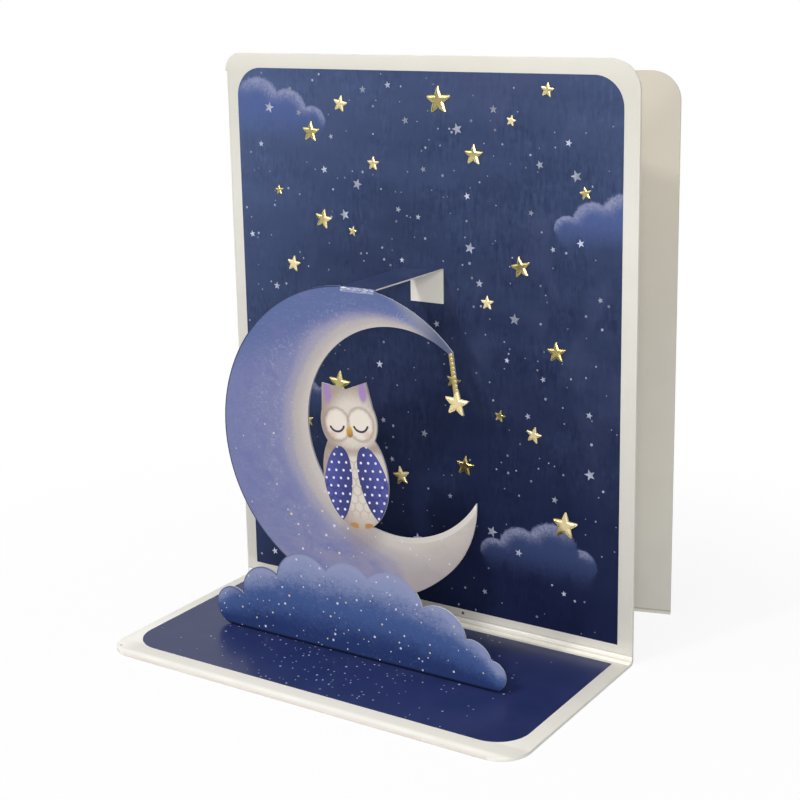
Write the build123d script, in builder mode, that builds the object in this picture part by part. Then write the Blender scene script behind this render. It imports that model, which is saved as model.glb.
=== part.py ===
"""Free-standing pop-up greeting card with a night-sky scene.

One board is folded into three leaves: a base flap that lies on the table, an
upright front panel, and a rear leaf that swings back at the spine as a prop.
A second, die-cut layer holds a crescent moon, a cloud and a small owl. It is
glued to the base by a tab under the cloud and to the panel by a strap.

Origin: the centre of the base flap's underside. +X runs along the card's
width, +Y towards the rear leaf, +Z up. Millimetres throughout.
"""

import os
from math import cos, hypot, radians, sin

from build123d import *

# Board, die-cut layer and ink
board = 0.8
layer_board = 0.4
film = 0.1

# Card sheet
card_width = 127.0
card_height = 155.6
base_depth = 63.2
leaf_drop = 5.0
leaf_swing = 15.9
fold_inner = 0.6
spine_inner = 0.3
open_corner = 8.0
spine_corner = 5.0
score_height = 1.6
score_size = 0.4

# Printed fields of the sheet
side_border = 4.2
top_border = 4.0
panel_fold_border = 4.1
base_fold_border = 3.3
front_border = 6.4
sky_corner = 8.0
ground_corner = 9.0

# Pop-up layer: its distance from the panel, its strap and its glued tabs
layer_distance = 33.3
strap_width = 10.2
strap_shift = 2.9
wall_tab_height = 9.6
base_tab_width = 72.0
base_tab_depth = 8.0
tab_bend = 0.25
crease_room = 0.5

# Crescent moon
moon_radius = 41.2
moon_shift = -0.3
moon_centre_height = 58.4
upper_tip_angle = 42.0
belly_angle = -44.6
lower_tip_reach = 38.2
lower_tip_angle = -14.6
mouth_radius = 27.6
mouth_shift = 14.2
mouth_rise = 4.2
crease_drop = 0.3

# Cloud in front of the moon
cloud_width = 91.0
cloud_height = 25.5
cloud_shift = -1.0

# Hanging star on its string
string_width = 1.1
string_length = 12.3
string_sway = 1.6
string_overlap = 0.6
hanging_star_radius = 3.5
hanging_star_turn = -4.0
star_waist = 0.42

# Owl asleep on the moon's inner curve
owl_angle = 247.0
owl_seat = 1.4
owl_lean = 7.0
owl_body_width = 20.0
owl_body_height = 28.0
owl_head_radius = 8.7
owl_head_height = 28.3
owl_tuft_reach = 12.6
owl_tuft_angle = 33.0
owl_wing_width = 8.6
owl_wing_height = 21.0
owl_wing_rise = 11.8
owl_wing_turn = 12.0
owl_eye_radius = 2.3
owl_eye_spacing = 7.4
owl_lid_width = 0.5
owl_lid_sweep = 140.0
owl_beak_width = 1.9
owl_beak_height = 3.0

# Stars and clouds printed on the sky
gold_star_radius = 3.8
gold_star_height = 0.3
gold_star_plateau = 0.62
gold_star_count = 28
gold_star_tilt = 12.0
white_star_radius = 1.6
white_star_height = 0.05
white_star_count = 60
white_star_tilt = 20.0
star_clearance = 1.4
star_crowding = 1.25
star_tries = 40
painted_cloud_width = 38.0

# Places worked out from the sizes above
left_x = -card_width / 2
right_x = card_width / 2
front_y = -base_depth / 2
panel_y = base_depth / 2
sky_y = panel_y - film
deck_z = board + film
leaf_height = card_height - leaf_drop
spine_outer = spine_inner + board
spine_centre = (left_x + spine_outer, panel_y + spine_outer)

layer_y = panel_y - layer_distance
moon_x = moon_shift
moon_z = deck_z + moon_centre_height
mouth_x = moon_x + mouth_shift
mouth_z = moon_z + mouth_rise
strap_x = moon_x + strap_shift
strap_z = moon_z + moon_radius - crease_drop
bend_outer = tab_bend + layer_board
face_top = strap_z - bend_outer - crease_room
face_bottom = deck_z + bend_outer + crease_room

sky_width = card_width - 2 * side_border
sky_bottom = board + panel_fold_border
sky_top = card_height - top_border
sky_height = sky_top - sky_bottom
sky_middle = (sky_bottom + sky_top) / 2

# Drawing planes that look along -Y, with the sketch's second axis up
face_plane = Plane.XZ.offset(-layer_y)
panel_plane = Plane.XZ.offset(-panel_y)
sky_plane = Plane.XZ.offset(-sky_y)


def around(x, z, reach, angle):
    """The point at a reach and an angle in degrees from (x, z)."""
    return (x + reach * cos(radians(angle)), z + reach * sin(radians(angle)))


def on_moon(reach, angle):
    return around(moon_x, moon_z, reach, angle)


def halton(index, base):
    """One number of an even, repeatable scatter between 0 and 1."""
    value = 0.0
    share = 1.0
    while index > 0:
        share /= base
        value += share * (index % base)
        index //= base
    return value


def draw_star(x, z, radius, turn=0.0):
    """A five-point star with its first tip up."""
    corners = []
    for i in range(10):
        reach = radius if i % 2 == 0 else radius * star_waist
        corners.append(around(x, z, reach, 90 + turn + 36 * i))
    with BuildLine() as outline:
        Polyline(*corners, close=True)
    make_face(outline.edges())


# The moon's upper tip is blunt, as wide as the string that hangs from it
upper_tip = on_moon(moon_radius, upper_tip_angle)
inner_tip = (upper_tip[0] - string_width, upper_tip[1] - string_width / 3)
tip_middle = ((upper_tip[0] + inner_tip[0]) / 2, (upper_tip[1] + inner_tip[1]) / 2)
inside_tip = (tip_middle[0] - string_overlap, tip_middle[1] + string_overlap)
star_centre = (tip_middle[0] + string_sway, tip_middle[1] - string_length)


def draw_crescent():
    lower_tip = on_moon(lower_tip_reach, lower_tip_angle)
    belly = on_moon(moon_radius, belly_angle)
    with BuildLine() as outline:
        back = ThreePointArc(upper_tip, on_moon(moon_radius, 180), belly)
        TangentArc(belly, lower_tip, tangent=back % 1)
        ThreePointArc(lower_tip, (mouth_x - mouth_radius, mouth_z), inner_tip)
        Line(inner_tip, upper_tip)
    make_face(outline.edges())


# Lobes of the cloud: place along it, height of the top, radius, as shares of its size
cloud_lobes = [
    (0.055, 0.440, 0.220),
    (0.180, 0.750, 0.300),
    (0.325, 1.000, 0.365),
    (0.480, 1.000, 0.330),
    (0.630, 1.000, 0.385),
    (0.785, 0.760, 0.330),
    (0.890, 0.490, 0.245),
    (0.957, 0.320, 0.160),
]


def draw_cloud():
    """Round lobes in a row over a body with a flat foot."""
    shoulders = []
    for along, top, size in cloud_lobes:
        lobe_radius = size * cloud_height
        lobe_x = cloud_shift + (along - 0.5) * cloud_width
        lobe_z = deck_z + top * cloud_height - lobe_radius
        shoulders.append((lobe_x, lobe_z))
        with Locations((lobe_x, lobe_z)):
            Circle(lobe_radius)
    foot = [(shoulders[-1][0], deck_z), (shoulders[0][0], deck_z)]
    with BuildLine() as body:
        Polyline(*shoulders, *foot, close=True)
    make_face(body.edges())


def cut_strap_crease():
    """The crescent is cut level where the strap's crease takes over."""
    with Locations((strap_x, face_top)):
        Rectangle(strap_width, moon_radius, align=(Align.CENTER, Align.MIN), mode=Mode.SUBTRACT)


def draw_hanging_star(*start):
    """A narrow strip of string down from the moon's tip, and the star on its end."""
    with BuildLine() as route:
        Polyline(*start, tip_middle, star_centre)
    trace(route.edges(), line_width=string_width)
    draw_star(*star_centre, hanging_star_radius, hanging_star_turn)


# The owl is drawn upright about its feet, on planes that lean with it
owl_foot = around(mouth_x, mouth_z, mouth_radius + owl_seat, owl_angle)


def owl_plane(y):
    """A plane at depth y whose second axis runs up through the owl."""
    across = (cos(radians(owl_lean)), 0, sin(radians(owl_lean)))
    return Plane(origin=(owl_foot[0], y, owl_foot[1]), x_dir=across, z_dir=(0, -1, 0))


def draw_owl():
    """Body, head and two ear tufts as one outline."""
    with Locations((0, owl_body_height / 2)):
        Ellipse(owl_body_width / 2, owl_body_height / 2)
    head = (0, owl_head_height)
    with Locations(head):
        Circle(owl_head_radius)
    for side in (-1, 1):
        tip = around(*head, owl_tuft_reach, 90 + side * owl_tuft_angle)
        inside = around(*head, owl_head_radius, 90)
        outside = around(*head, owl_head_radius, 90 + side * owl_tuft_angle * 2)
        with BuildLine() as tuft:
            Polyline(head, inside, tip, outside, close=True)
        make_face(tuft.edges())


def draw_wings():
    """Two folded wings that close over the belly, inside the owl's outline."""
    draw_owl()
    with BuildSketch(mode=Mode.PRIVATE) as wings:
        for side in (-1, 1):
            with Locations((side * (owl_body_width - owl_wing_width) / 2, owl_wing_rise)):
                Ellipse(owl_wing_width / 2, owl_wing_height / 2, rotation=side * owl_wing_turn)
    add(wings.sketch_local, mode=Mode.INTERSECT)


# One board, folded at the base and at the spine
with BuildPart() as card_sheet:
    with BuildSketch(Plane.YZ):
        with BuildLine():
            FilletPolyline(
                (front_y, board / 2),
                (panel_y + board / 2, board / 2),
                (panel_y + board / 2, card_height),
                radius=fold_inner + board / 2,
            )
        trace(line_width=board)
    extrude(amount=card_width / 2, both=True)

    # Rounded top corners of the panel
    top_edges = card_sheet.edges().filter_by(Axis.Y).group_by(Axis.Z)[-1].sort_by(Axis.X)
    fillet(top_edges[0], radius=spine_corner)
    fillet(top_edges[-1], radius=open_corner)

    # Room for the spine's bend, up to the rear leaf's top
    with BuildSketch(Plane.XY):
        with Locations((left_x, 0)):
            Rectangle(spine_outer, card_width * 2, align=(Align.MIN, Align.CENTER))
    extrude(amount=leaf_height, mode=Mode.SUBTRACT)

    # Rounded front corners of the base
    front_edges = card_sheet.edges().filter_by(Axis.Z).group_by(Axis.Y)[0]
    fillet(front_edges, radius=open_corner)

    # Spine bend and rear leaf
    with BuildSketch(Plane.XY):
        with BuildLine():
            CenterArc(spine_centre, spine_inner + board / 2, 90 + leaf_swing, 180 - leaf_swing)
        trace(line_width=board)
    extrude(amount=leaf_height)
    swing = radians(leaf_swing)
    leaf_plane = Plane(
        origin=(*spine_centre, 0),
        x_dir=(cos(swing), sin(swing), 0),
        z_dir=(sin(swing), -cos(swing), 0),
    )
    with BuildSketch(leaf_plane.offset(-spine_inner)) as rear_leaf:
        Rectangle(card_width - spine_outer, leaf_height, align=(Align.MIN, Align.MIN))
        fillet(rear_leaf.vertices().group_by(Axis.X)[-1].sort_by(Axis.Y)[-1], radius=open_corner)
    extrude(amount=-board)

    # Score lines either side of the base fold
    with BuildSketch(Plane.YZ):
        with Locations((panel_y, board + score_height), (panel_y - score_height, board)):
            Rectangle(score_size, score_size, rotation=45)
    extrude(amount=card_width / 2, both=True, mode=Mode.SUBTRACT)


# One die-cut layer: moon, cloud, owl, string and star, with its strap and tabs
with BuildPart() as pop_up_layer:
    with BuildSketch(face_plane):
        draw_cloud()
        draw_crescent()
        draw_hanging_star(inside_tip)
        cut_strap_crease()
        with Locations((cloud_shift, face_bottom)):
            Rectangle(base_tab_width, cloud_height, align=(Align.CENTER, Align.MAX), mode=Mode.SUBTRACT)
    extrude(amount=-layer_board)
    with BuildSketch(owl_plane(layer_y)):
        draw_owl()
    extrude(amount=-layer_board)

    # Strap: up from the moon, back to the sky and down as a glued tab
    middle_y = layer_y + layer_board / 2
    with BuildSketch(Plane.YZ.offset(strap_x)):
        with BuildLine():
            FilletPolyline(
                (middle_y, face_top),
                (middle_y, strap_z - layer_board / 2),
                (sky_y - layer_board / 2, strap_z - layer_board / 2),
                (sky_y - layer_board / 2, strap_z - wall_tab_height),
                radius=tab_bend + layer_board / 2,
            )
        trace(line_width=layer_board)
    extrude(amount=strap_width / 2, both=True)

    # Tab under the cloud, folded back on the base
    with BuildSketch(Plane.YZ.offset(cloud_shift)):
        with BuildLine():
            FilletPolyline(
                (middle_y, face_bottom),
                (middle_y, deck_z + layer_board / 2),
                (layer_y + base_tab_depth, deck_z + layer_board / 2),
                radius=tab_bend + layer_board / 2,
            )
        trace(line_width=layer_board)
    extrude(amount=base_tab_width / 2, both=True)


# Painted clouds, each with the side and the end of the sky it is near, the distances in from
# those borders as shares of its own width, and its width as a share of the largest. Clouds on
# opposite sides are mirrored.
cloud_places = [
    (-1, 1, 0.31, 0.36, 1.00),
    (1, 1, 0.11, 1.18, 0.85),
    (1, -1, 0.66, 0.53, 0.95),
    (-1, -1, 1.04, 2.32, 0.60),
]
# Lobes of one painted cloud: place, rise and radius, as shares of its width
painted_lobes = [(-0.36, 0.00, 0.14), (-0.13, 0.08, 0.22), (0.14, 0.04, 0.18), (0.36, -0.02, 0.12)]


def draw_sky():
    with Locations((0, sky_middle)):
        field = Rectangle(sky_width, sky_height)
    fillet(field.vertices().group_by(Axis.Y)[-1], radius=sky_corner)


def draw_painted_clouds():
    for side, end, inward, away, size in cloud_places:
        width = size * painted_cloud_width
        x = side * (sky_width / 2 - inward * width)
        z = sky_middle + end * (sky_height / 2 - away * width)
        for along, rise, lobe in painted_lobes:
            with Locations((x - side * along * width, z + rise * width)):
                Circle(lobe * width)


# The printed sky and its paler clouds are cut to each other
with BuildSketch(mode=Mode.PRIVATE) as sky_field:
    draw_sky()

with BuildPart() as sky_print:
    with BuildSketch(panel_plane):
        add(sky_field.sketch_local)
    extrude(amount=film)
    with BuildSketch(panel_plane):
        draw_painted_clouds()
    extrude(amount=film, mode=Mode.SUBTRACT)

with BuildPart() as painted_clouds:
    with BuildSketch(panel_plane):
        draw_painted_clouds()
        add(sky_field.sketch_local, mode=Mode.INTERSECT)
    extrude(amount=film)

with BuildPart() as ground_print:
    ground_back = panel_y - base_fold_border
    ground_front = front_y + front_border
    with BuildSketch(Plane.XY.offset(board)):
        with Locations((0, (ground_back + ground_front) / 2)):
            ground = Rectangle(sky_width, ground_back - ground_front)
        fillet(ground.vertices().group_by(Axis.Y)[0], radius=ground_corner)
    extrude(amount=film)


# Stars scattered over the sky, clear of each other, of the borders and of the glued tab
def scatter(count, sizes, taken):
    """Places for count stars, as (x, z, radius), clear of those already taken."""
    stars = []
    for index in range(1, star_tries * count):
        if len(stars) == count:
            break
        radius = sizes[index % len(sizes)]
        edge = radius + star_clearance
        x = (halton(index, 2) - 0.5) * (sky_width - 2 * edge)
        z = sky_top - edge - halton(index, 3) ** star_crowding * (sky_height - 2 * edge)
        on_tab = abs(x - strap_x) < strap_width / 2 + edge and abs(z - strap_z) < wall_tab_height + edge
        in_corner = abs(x) > sky_width / 2 - sky_corner and z > sky_top - sky_corner
        crowded = any(hypot(x - a, z - b) < radius + r + star_clearance for a, b, r in taken + stars)
        if not (on_tab or in_corner or crowded):
            stars.append((x, z, radius))
    return stars


gold_sizes = [gold_star_radius * share for share in (0.75, 0.45, 1.0, 0.38, 0.62, 0.78, 0.52)]
gold_places = scatter(gold_star_count, gold_sizes, [])
white_sizes = [white_star_radius * share for share in (0.7, 0.5, 1.0, 0.55, 0.62)]
white_places = scatter(white_star_count, white_sizes, gold_places)

with BuildPart() as gold_stars:
    for x, z, radius in gold_places:
        turn = gold_star_tilt * sin(x + z)
        with BuildSketch(sky_plane):
            draw_star(x, z, radius, turn)
        with BuildSketch(sky_plane.offset(gold_star_height * radius / gold_star_radius)):
            draw_star(x, z, radius * gold_star_plateau, turn)
        loft(ruled=True)

with BuildPart() as white_stars:
    with BuildSketch(sky_plane):
        for x, z, radius in white_places:
            draw_star(x, z, radius, turn=white_star_tilt * sin(x - z))
    extrude(amount=white_star_height)


# Print on the die-cut layer, one field of colour for each piece
with BuildPart() as cloud_print:
    with BuildSketch(face_plane):
        draw_cloud()
    extrude(amount=film)

with BuildPart() as owl_print:
    with BuildSketch(owl_plane(layer_y)):
        draw_owl()
    extrude(amount=film)

with BuildPart() as moon_print:
    with BuildSketch(face_plane):
        draw_crescent()
        cut_strap_crease()
    extrude(amount=film)
    add(cloud_print.part, mode=Mode.SUBTRACT)
    add(owl_print.part, mode=Mode.SUBTRACT)

with BuildPart() as hanging_foil:
    with BuildSketch(face_plane):
        draw_hanging_star()
    extrude(amount=film)
    add(moon_print.part, mode=Mode.SUBTRACT)

with BuildPart() as strap_print:
    strap_start = layer_y + bend_outer
    strap_end = sky_y - bend_outer
    with BuildSketch(Plane.XY.offset(strap_z)):
        with Locations((strap_x, (strap_start + strap_end) / 2)):
            Rectangle(strap_width, strap_end - strap_start)
    extrude(amount=film)

with BuildPart() as owl_wings:
    with BuildSketch(owl_plane(layer_y - film)):
        draw_wings()
    extrude(amount=film)

with BuildPart() as owl_face:
    with BuildSketch(owl_plane(layer_y - film)):
        for side in (-1, 1):
            with BuildLine():
                eye = (side * owl_eye_spacing / 2, owl_head_height)
                CenterArc(eye, owl_eye_radius, 270 - owl_lid_sweep / 2, owl_lid_sweep)
            trace(line_width=owl_lid_width)
        with Locations((0, owl_head_height - owl_eye_radius)):
            Ellipse(owl_beak_width / 2, owl_beak_height / 2)
    extrude(amount=film)


os.makedirs("parts", exist_ok=True)

card_sheet.part.label = "card_sheet"
export_step(card_sheet.part, "parts/card_sheet.step")
pop_up_layer.part.label = "pop_up_layer"
export_step(pop_up_layer.part, "parts/pop_up_layer.step")
sky_print.part.label = "sky_print"
export_step(sky_print.part, "parts/sky_print.step")
painted_clouds.part.label = "painted_clouds"
export_step(painted_clouds.part, "parts/painted_clouds.step")
ground_print.part.label = "ground_print"
export_step(ground_print.part, "parts/ground_print.step")
gold_stars.part.label = "gold_stars"
export_step(gold_stars.part, "parts/gold_stars.step")
white_stars.part.label = "white_stars"
export_step(white_stars.part, "parts/white_stars.step")
moon_print.part.label = "moon_print"
export_step(moon_print.part, "parts/moon_print.step")
cloud_print.part.label = "cloud_print"
export_step(cloud_print.part, "parts/cloud_print.step")
hanging_foil.part.label = "hanging_foil"
export_step(hanging_foil.part, "parts/hanging_foil.step")
strap_print.part.label = "strap_print"
export_step(strap_print.part, "parts/strap_print.step")
owl_print.part.label = "owl_print"
export_step(owl_print.part, "parts/owl_print.step")
owl_wings.part.label = "owl_wings"
export_step(owl_wings.part, "parts/owl_wings.step")
owl_face.part.label = "owl_face"
export_step(owl_face.part, "parts/owl_face.step")
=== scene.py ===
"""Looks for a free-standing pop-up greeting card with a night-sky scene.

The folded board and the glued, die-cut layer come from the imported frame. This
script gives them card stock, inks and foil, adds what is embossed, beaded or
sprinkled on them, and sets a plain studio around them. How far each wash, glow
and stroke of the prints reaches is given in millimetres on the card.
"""

from math import cos, radians, sin

import bmesh
import bpy
from bpy.props import FloatProperty, FloatVectorProperty, IntProperty, PointerProperty
from mathutils import Matrix, Vector


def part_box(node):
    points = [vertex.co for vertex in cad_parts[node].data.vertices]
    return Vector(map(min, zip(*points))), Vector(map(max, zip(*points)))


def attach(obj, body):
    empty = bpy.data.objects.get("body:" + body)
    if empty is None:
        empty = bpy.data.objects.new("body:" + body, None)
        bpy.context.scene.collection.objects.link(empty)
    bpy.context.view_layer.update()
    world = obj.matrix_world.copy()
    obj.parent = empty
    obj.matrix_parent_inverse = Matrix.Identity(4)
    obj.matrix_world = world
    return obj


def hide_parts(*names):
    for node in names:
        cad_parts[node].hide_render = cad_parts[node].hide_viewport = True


bl_info = {
    "name": "Pop-up night sky card",
    "version": (1, 0, 0),
    "blender": (4, 5, 0),
    "location": "View3D > Sidebar > Card",
    "description": "Dresses the packed pop-up card with board, inks, foil and a studio",
    "category": "Object",
}

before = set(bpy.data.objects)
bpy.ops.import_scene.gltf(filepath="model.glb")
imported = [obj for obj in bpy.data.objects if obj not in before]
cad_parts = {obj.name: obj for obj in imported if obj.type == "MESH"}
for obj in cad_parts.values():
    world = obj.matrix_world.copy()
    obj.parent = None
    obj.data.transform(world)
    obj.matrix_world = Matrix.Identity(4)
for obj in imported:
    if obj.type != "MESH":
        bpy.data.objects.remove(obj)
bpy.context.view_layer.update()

MM = 0.001


def box_mm(node):
    """A CAD node's lowest and highest corners in millimetres."""
    low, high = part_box(node)
    return low / MM, high / MM


def tone(red, green, blue):
    """A screen colour, 0 to 255 a channel, as the linear colour that a shader takes."""
    return tuple((channel / 255) ** 2.2 for channel in (red, green, blue))


def scaled(colour, *gains):
    """A colour with each channel times its own gain, or all of them times one."""
    return tuple(channel * gain for channel, gain in zip(colour, gains * 3))


# What a user may change: colours are given as screen colours, and lengths in millimetres


def colour_setting(name, description, *screen):
    return FloatVectorProperty(name=name, description=description, subtype="COLOR", default=tone(*screen))


def number_setting(name, description, default, **kind):
    return FloatProperty(name=name, description=description, default=default, **kind)


def length_setting(name, description, millimetres):
    return number_setting(name, description, millimetres * MM, unit="LENGTH")


# Shader and geometry nodes written as expressions


def math_node(operation):
    """A method of Value that adds a Math node on it and on the numbers or values that follow."""
    return lambda value, *others: value.math(operation, value, *others)


def reflected(operation):
    """The same for a number that stands before the value."""
    return lambda value, number: value.math(operation, number, value)


class Value:
    """A node's output. Python arithmetic on it adds Math nodes to its graph."""

    __add__, __radd__ = math_node("ADD"), reflected("ADD")
    __sub__, __rsub__ = math_node("SUBTRACT"), reflected("SUBTRACT")
    __mul__, __rmul__ = math_node("MULTIPLY"), reflected("MULTIPLY")
    __truediv__, __rtruediv__ = math_node("DIVIDE"), reflected("DIVIDE")
    __pow__, __rpow__ = math_node("POWER"), reflected("POWER")
    __abs__ = math_node("ABSOLUTE")
    root = math_node("SQRT")
    sine = math_node("SINE")
    fraction = math_node("FRACT")
    bounce = math_node("PINGPONG")
    most = math_node("MAXIMUM")
    over = math_node("GREATER_THAN")
    under = math_node("LESS_THAN")

    def __init__(self, graph, socket):
        self.graph = graph
        self.socket = socket

    def math(self, operation, *values):
        return self.graph.node("ShaderNodeMath", {"operation": operation}, dict(enumerate(values)))

    def other(self, name):
        """Another output of the same node."""
        return Value(self.graph, self.socket.node.outputs[name])

    def rise(self, start, end):
        """0 up to start, 1 from end, and smooth between; start may be the larger one."""
        settings = {"interpolation_type": "SMOOTHSTEP"}
        return self.graph.node("ShaderNodeMapRange", settings, {0: self, 1: start, 2: end, 3: 0, 4: 1})


def distance(across, up):
    """How far a place lies from where both values are 0."""
    return (across ** 2 + up ** 2).root()


class Graph:
    """A node tree whose nodes are all made by one method."""

    def __init__(self, tree):
        self.tree = tree
        tree.nodes.clear()

    def node(self, kind, settings=None, inputs=None, output=0):
        """Adds a node, with its settings first and then the values or links of its sockets."""
        made = self.tree.nodes.new(kind)
        for name, value in (settings or {}).items():
            if name == "stops":
                self.set_stops(made.color_ramp, value)
            else:
                setattr(made, name, value)
        for name, value in (inputs or {}).items():
            socket = made.inputs[name]
            if isinstance(value, Value):
                self.tree.links.new(value.socket, socket)
            elif socket.type == "RGBA":
                socket.default_value = (*value[:3], 1)
            else:
                socket.default_value = value
        return Value(self, made.outputs[output]) if made.outputs else made

    def set_stops(self, ramp, stops):
        """Stops are (place, colour), in order."""
        ramp.interpolation = "EASE"
        while len(ramp.elements) < len(stops):
            ramp.elements.new(0.5)
        for element, (place, colour) in zip(ramp.elements, stops):
            element.position = place
            element.color = (*colour, 1)

    def mix(self, first, second, share):
        """A colour between first and second."""
        return self.node("ShaderNodeMix", {"data_type": "RGBA"}, {0: share, 6: first, 7: second}, output=2)

    def vector(self, operation, *values, output=0):
        return self.node("ShaderNodeVectorMath", {"operation": operation}, dict(enumerate(values)), output)

    def split(self, vector):
        """The x, y and z of a vector."""
        parts = self.node("ShaderNodeSeparateXYZ", inputs={0: vector})
        return [parts.other(axis) for axis in "XYZ"]


class Finish(Graph):
    """A material: x, y and z are the place on the object in millimetres, and colours are laid in turn."""

    def __init__(self, name, colour=None):
        self.material = bpy.data.materials.new(name)
        self.material.use_nodes = True
        super().__init__(self.material.node_tree)
        where = self.node("ShaderNodeTexCoord", output="Object")
        self.place = self.vector("MULTIPLY", where, (1 / MM,) * 3)
        self.x, self.y, self.z = self.split(self.place)
        self.colour = colour

    def ramp(self, place, *stops):
        """Starts the colour with a ramp through stops of (place, colour)."""
        self.colour = self.node("ShaderNodeValToRGB", {"stops": stops}, {0: place})

    def lay(self, colour, share):
        """Lays a colour over those laid before, with a share from 0 to 1."""
        self.colour = self.mix(self.colour, colour, share)

    def noise(self, size, detail=2.0, roughness=0.5, warp=0.0):
        """Even noise about 0, from about -0.5 to 0.5. size is in millimetres, one or three of them."""
        sizes = size if isinstance(size, tuple) else (size,) * 3
        where = self.vector("MULTIPLY", self.place, tuple(1 / each for each in sizes))
        inputs = {"Vector": where, "Scale": 1.0, "Detail": detail, "Roughness": roughness, "Distortion": warp}
        return self.node("ShaderNodeTexNoise", inputs=inputs) - 0.5

    def grain(self, size):
        """Coarse airbrush grain, from about -1 to 1."""
        return self.noise(size, roughness=0.75) * 3.2

    def reach(self, across, up):
        """Distance in the upright plane from a point, in millimetres."""
        return distance(self.x - across, self.z - up)

    def towards(self, centre, angle):
        """How far a place lies from a centre in the direction of an angle in degrees, in millimetres."""
        along, up = cos(radians(angle)), sin(radians(angle))
        return (self.x - centre[0]) * along + (self.z - centre[1]) * up

    def surface(self, roughness, height=None, depth=0.01, specular=0.5, metallic=0.0):
        """Closes the material. height is a bump of that depth in millimetres."""
        inputs = {"Base Color": self.colour, "Roughness": roughness}
        inputs.update({"Specular IOR Level": specular, "Metallic": metallic})
        if height is not None:
            bump = {"Height": height, "Distance": depth * MM, "Strength": 1.0}
            inputs["Normal"] = self.node("ShaderNodeBump", inputs=bump)
        shader = self.node("ShaderNodeBsdfPrincipled", inputs=inputs)
        self.node("ShaderNodeOutputMaterial", inputs={"Surface": shader})
        return self.material


class Pattern(Graph):
    """A geometry node group with inputs named by their kind, and one material for all that it makes."""

    def __init__(self, name, **labels):
        tree = bpy.data.node_groups.new(name, "GeometryNodeTree")
        super().__init__(tree)
        for kind, names in {"Geometry": ["Geometry"], **labels, "Material": ["material"]}.items():
            for label in names:
                tree.interface.new_socket(label, in_out="INPUT", socket_type="NodeSocket" + kind)
        tree.interface.new_socket("Geometry", in_out="OUTPUT", socket_type="NodeSocketGeometry")
        sockets = tree.nodes.new("NodeGroupInput").outputs
        self.given = {socket.name: Value(self, socket) for socket in sockets if socket.name}

    def stored(self, name):
        """A number that each point carries under a name."""
        return self.node("GeometryNodeInputNamedAttribute", {"data_type": "FLOAT"}, {"Name": name})

    def chance(self, seed):
        """A random number from 0 to 1 for each point."""
        return self.node("FunctionNodeRandomValue", inputs={2: 0.0, 3: 1.0, "Seed": seed}, output=1)

    def part(self, geometry, domain, chosen):
        """What is chosen of a geometry's faces or edges."""
        inputs = {"Geometry": geometry, "Selection": chosen}
        return self.node("GeometryNodeSeparateGeometry", {"domain": domain}, inputs)

    def close(self, instances):
        """Ends the group in real mesh with its material."""
        real = self.node("GeometryNodeRealizeInstances", inputs={"Geometry": instances})
        inputs = {"Geometry": real, "Material": self.given["material"]}
        painted = self.node("GeometryNodeSetMaterial", inputs=inputs)
        self.tree.nodes.new("NodeGroupOutput")
        self.tree.links.new(painted.socket, self.tree.nodes[-1].inputs[0])
        return self.tree


# Meshes and pieces


def new_object(name, mesh):
    piece = bpy.data.objects.new(name, mesh)
    bpy.context.scene.collection.objects.link(piece)
    return piece


def bake(piece):
    """Turns a piece with modifiers into its plain result."""
    bpy.context.view_layer.update()
    evaluated = piece.evaluated_get(bpy.context.evaluated_depsgraph_get())
    old = piece.data
    piece.data = bpy.data.meshes.new_from_object(evaluated)
    piece.data.name = piece.name
    piece.modifiers.clear()
    bpy.data.meshes.remove(old)


def run_pattern(piece, tree, settings, **values):
    """Runs a geometry node group on a piece. Each input takes the value or else the setting of its name."""
    modifier = piece.modifiers.new("pattern", "NODES")
    modifier.node_group = tree
    for item in tree.interface.items_tree:
        if item.in_out == "INPUT" and item.name in values:
            modifier[item.identifier] = values[item.name]
        elif item.in_out == "INPUT" and hasattr(settings, item.name):
            modifier[item.identifier] = getattr(settings, item.name)
    bake(piece)


def settle(piece, slot, *nodes):
    """Rides a finished piece on the card, in place of CAD nodes, which it hides. The slot is not used."""
    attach(piece, "root")
    if nodes:
        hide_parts(*nodes)


def paint(material, *nodes):
    """Gives CAD nodes that stay a material."""
    for node in nodes:
        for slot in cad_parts[node].material_slots:
            slot.material = material


def joined_mesh(node):
    """A CAD node's mesh with its loose triangles joined into flat faces."""
    shell = bmesh.new()
    shell.from_mesh(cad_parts[node].data)
    bmesh.ops.remove_doubles(shell, verts=shell.verts, dist=0.001 * MM)
    edges = list(shell.edges)
    bmesh.ops.dissolve_limit(shell, angle_limit=radians(0.4), verts=shell.verts, edges=edges)
    return shell


# Card stock


class CardBoardSettings(bpy.types.PropertyGroup):
    paper: colour_setting("Paper", "Colour of the uncoated board", 240, 237, 227)
    # inside is painted shade: the same board, darker behind the panel where less light reaches
    inside: colour_setting("Inside", "Colour behind the panel, where the board is darker", 205, 196, 180)
    core: colour_setting("Core", "Colour of the board's cut edges", 247, 244, 234)
    edge_round: length_setting("Edge rounding", "How far the pressed edges are rounded", 0.12)
    fibre_depth: number_setting("Fibre depth", "Depth of the paper's fibres in millimetres", 0.012)
    # The fold's crushed line is painted bright, a painted highlight of this strength
    fold_wear_sheen: number_setting("Fold wear", "Strength of the crushed line at the fold", 0.8, subtype="FACTOR")


# The sheet in millimetres: its board, where the panel's printed side stands, how far the score lines lie
# from the fold, the flap's front edge, and where a fleck (across, up) and a nick (across, in) mark it
BOARD = 0.8
FOLD_Y = 31.6
SCORE = 1.6
FLAP_FRONT = box_mm("card_sheet")[0].y
FLECK = (12.5, 3.7)
NICK = (-59.5, -28.1)


def lay_pulp(board, shade):
    """Mottles board towards a shade. Returns its fibres, which lie two ways, and its pulp."""
    fibres = board.noise((0.3, 0.3, 1.3), detail=3) + board.noise((1.3, 1.0, 0.3), detail=3)
    pulp = board.noise(9.0, detail=3)
    board.lay(shade, 0.5 + 1.3 * pulp + 0.3 * fibres)
    return fibres, pulp


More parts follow.
